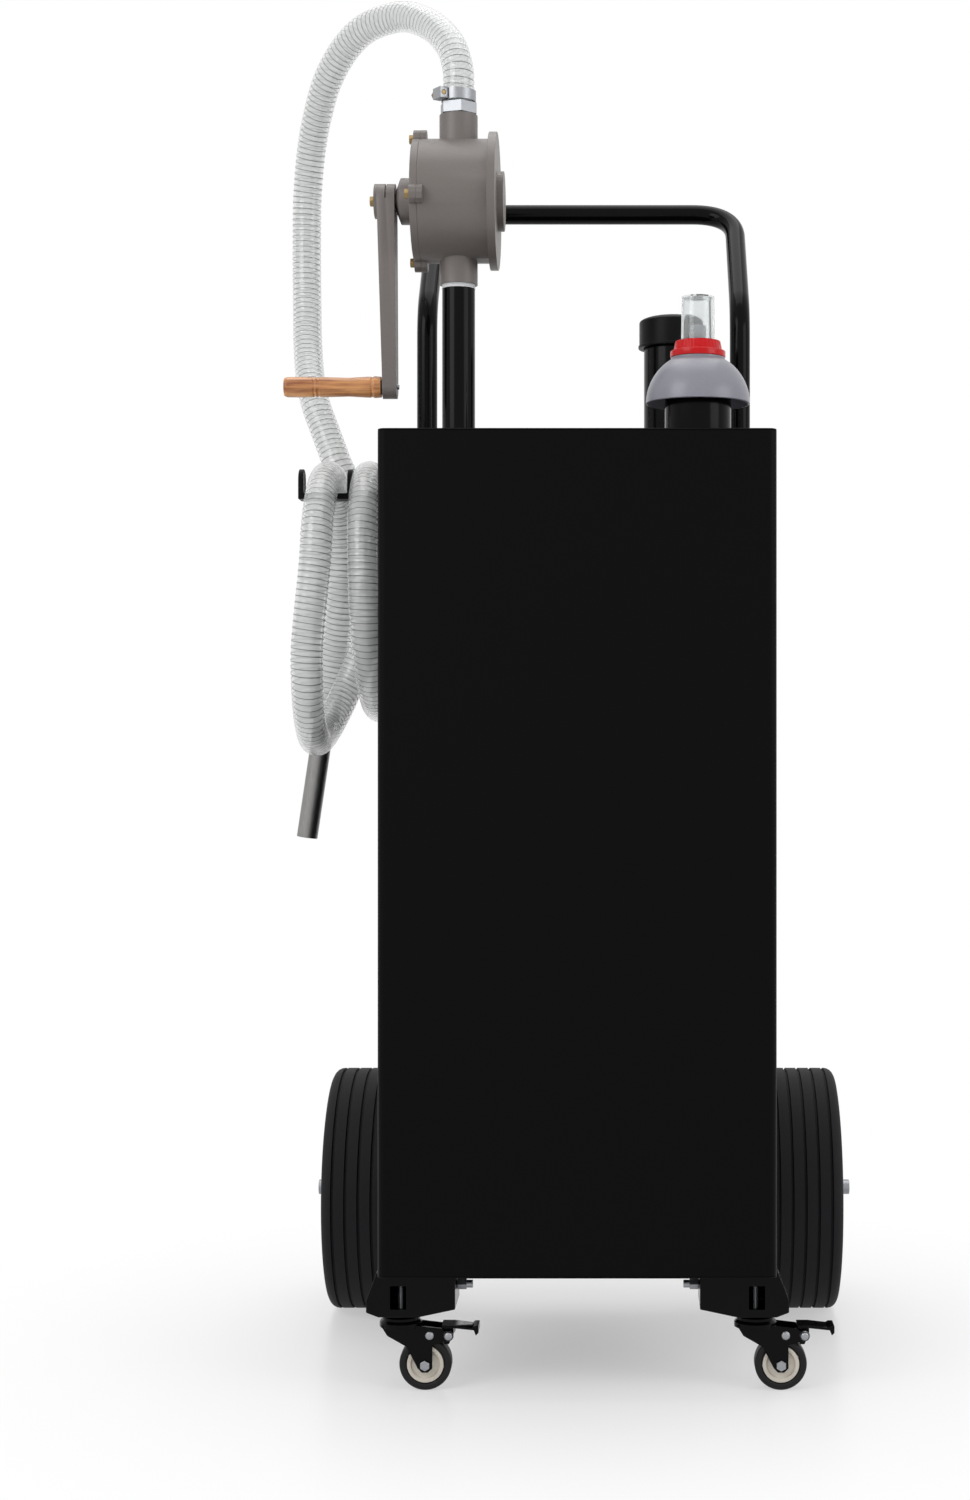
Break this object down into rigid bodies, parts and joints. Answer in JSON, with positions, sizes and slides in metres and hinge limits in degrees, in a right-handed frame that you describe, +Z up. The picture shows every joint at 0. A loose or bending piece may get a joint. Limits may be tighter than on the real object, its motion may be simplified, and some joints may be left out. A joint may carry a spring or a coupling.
{
  "type": "fuel caddy",
  "caption": "Wheeled steel fuel caddy with a hand-cranked rotary pump, clear hose on a side hook, float gauge, filler cap, push handle, two big wheels and two braked casters.",
  "frame": {"origin": "on the floor, under the middle of the box that holds everything but the hose and its nozzle", "axes": "+Z up, the tank's front panel faces -Y, +X to the right when looking at the front"},
  "size_m": [0.6157, 0.523, 1.3976],
  "materials": {
    "black_paint": "satin black enamel",
    "pump_paint": "grey-brown casting paint",
    "zinc": "bright zinc plate",
    "yellow_zinc": "yellow zinc plate",
    "steel": "bare steel",
    "dark_steel": "blackened steel",
    "tread_rubber": "matt black",
    "caster_rubber": "satin black",
    "rim_plastic": "matt black",
    "core_plastic": "off-white",
    "vane_plastic": "dark grey",
    "seal_white": "white",
    "cap_plastic": "matt black",
    "bowl_plastic": "translucent grey",
    "red_plastic": "glossy red",
    "clear_vial": "clear",
    "float_foam": "mid grey",
    "hose_vinyl": "clear vinyl with a steel spiral",
    "nozzle_metal": "satin",
    "beech": "varnished"
  },
  "bodies": {
    "caddy": {"tank_shell": "black_paint", "tank_bottom": "black_paint", "tank_top": "black_paint", "suction_pipe": "black_paint", "push_handle": "black_paint", "fill_neck": "black_paint", "gauge_neck": "black_paint", "axle_bracket_left": "black_paint", "axle_bracket_right": "black_paint", "caster_bracket_left": "black_paint", "caster_bracket_right": "black_paint", "hose_hook": "black_paint", "pump_housing": "pump_paint", "pump_cover": "pump_paint", "outlet_fitting": "zinc", "hose_clamp": "zinc", "rear_axle": "zinc", "axle_nut_left": "zinc", "axle_nut_right": "zinc", "bracket_bolt_left": "zinc", "bracket_bolt_right": "zinc", "caster_stem_left": "zinc", "caster_stem_right": "zinc", "cover_bolt_1": "yellow_zinc", "cover_bolt_2": "yellow_zinc", "cover_bolt_3": "yellow_zinc", "cover_bolt_4": "yellow_zinc", "clamp_screw": "yellow_zinc", "thread_seal": "seal_white", "gauge_bowl": "bowl_plastic", "gauge_collar": "red_plastic", "gauge_vial": "clear_vial", "hose_lead": "hose_vinyl", "hose_coil": "hose_vinyl", "hose_nozzle": "nozzle_metal"},
    "crank": {"crank_arm": "pump_paint", "crank_screw": "yellow_zinc", "grip_pin": "steel", "grip_washer": "dark_steel", "pump_shaft": "steel", "pump_rotor": "steel", "pump_vane_1": "vane_plastic", "pump_vane_2": "vane_plastic"},
    "grip": {"crank_grip": "beech"},
    "left_wheel": {"tyre_left": "tread_rubber", "wheel_rim_left": "rim_plastic"},
    "right_wheel": {"tyre_right": "tread_rubber", "wheel_rim_right": "rim_plastic"},
    "left_fork": {"caster_fork_left": "black_paint", "caster_axle_left": "zinc"},
    "right_fork": {"caster_fork_right": "black_paint", "caster_axle_right": "zinc"},
    "left_caster_wheel": {"caster_tread_left": "caster_rubber", "caster_core_left": "core_plastic"},
    "right_caster_wheel": {"caster_tread_right": "caster_rubber", "caster_core_right": "core_plastic"},
    "left_pedal": {"brake_pedal_left": "black_paint"},
    "right_pedal": {"brake_pedal_right": "black_paint"},
    "fill_cap": {"fill_cap": "cap_plastic"},
    "float": {"gauge_float": "float_foam"}
  },
  "joints": [
    {"name": "crank_turn", "type": "hinge", "parent": "caddy", "child": "crank", "pos_m": [-0.2, -0.074, 1.169], "axis": [1, 0, 0], "continuous": true},
    {"name": "grip_spin", "type": "hinge", "parent": "crank", "child": "grip", "pos_m": [-0.25, -0.074, 0.9805], "axis": [1, 0, 0], "continuous": true},
    {"name": "left_wheel_spin", "type": "hinge", "parent": "caddy", "child": "left_wheel", "pos_m": [-0.2305, 0.1315, 0.13], "axis": [1, 0, 0], "continuous": true},
    {"name": "right_wheel_spin", "type": "hinge", "parent": "caddy", "child": "right_wheel", "pos_m": [0.2395, 0.1315, 0.13], "axis": [1, 0, 0], "continuous": true},
    {"name": "left_caster_swivel", "type": "hinge", "parent": "caddy", "child": "left_fork", "pos_m": [-0.1655, -0.2065, 0.06], "axis": [0, 0, 1], "continuous": true},
    {"name": "right_caster_swivel", "type": "hinge", "parent": "caddy", "child": "right_fork", "pos_m": [0.1745, -0.2065, 0.06], "axis": [0, 0, 1], "continuous": true},
    {"name": "left_caster_spin", "type": "hinge", "parent": "left_fork", "child": "left_caster_wheel", "pos_m": [-0.1415, -0.2065, 0.025], "axis": [0, 1, 0], "continuous": true},
    {"name": "right_caster_spin", "type": "hinge", "parent": "right_fork", "child": "right_caster_wheel", "pos_m": [0.1985, -0.2065, 0.025], "axis": [0, 1, 0], "continuous": true},
    {"name": "left_brake_press", "type": "hinge", "parent": "left_fork", "child": "left_pedal", "pos_m": [-0.119, -0.2065, 0.053], "axis": [0, 1, 0], "range_deg": [0, 12]},
    {"name": "right_brake_press", "type": "hinge", "parent": "right_fork", "child": "right_pedal", "pos_m": [0.221, -0.2065, 0.053], "axis": [0, 1, 0], "range_deg": [0, 12]},
    {"name": "fill_cap_lift", "type": "slide", "parent": "caddy", "child": "fill_cap", "axis": [0, 0, 1], "range_m": [0, 0.04]},
    {"name": "float_rise", "type": "slide", "parent": "caddy", "child": "float", "axis": [0, 0, 1], "range_m": [0, 0.025]}
  ]
}
